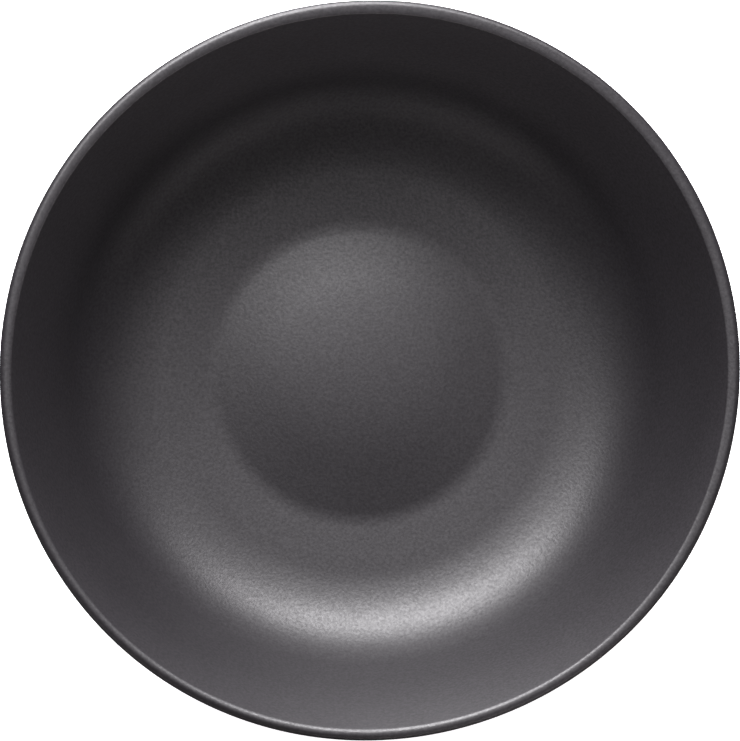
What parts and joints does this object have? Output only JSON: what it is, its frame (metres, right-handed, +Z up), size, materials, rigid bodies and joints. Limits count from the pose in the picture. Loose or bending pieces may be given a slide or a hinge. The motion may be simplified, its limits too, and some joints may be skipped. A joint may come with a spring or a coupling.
{
  "type": "serving bowl",
  "caption": "Round matte stoneware serving bowl with a crowned floor, curved wall, round lip and a bare foot ring; holds salad, fruit or other food for serving.",
  "frame": {"origin": "centre of the foot ring's standing face, on the table", "axes": "+Z up along the bowl's axis; the bowl is a body of revolution, so +X and +Y are any two level directions"},
  "size_m": [0.28, 0.28, 0.08],
  "materials": {
    "stoneware": "bare fired clay, ground smooth on the standing ring",
    "matte_glaze": "matte charcoal glaze with a fine grain"
  },
  "bodies": {
    "root": {"stoneware_body": "stoneware", "glaze_coat": "matte_glaze", "foot_well_glaze": "matte_glaze"}
  },
  "joints": []
}
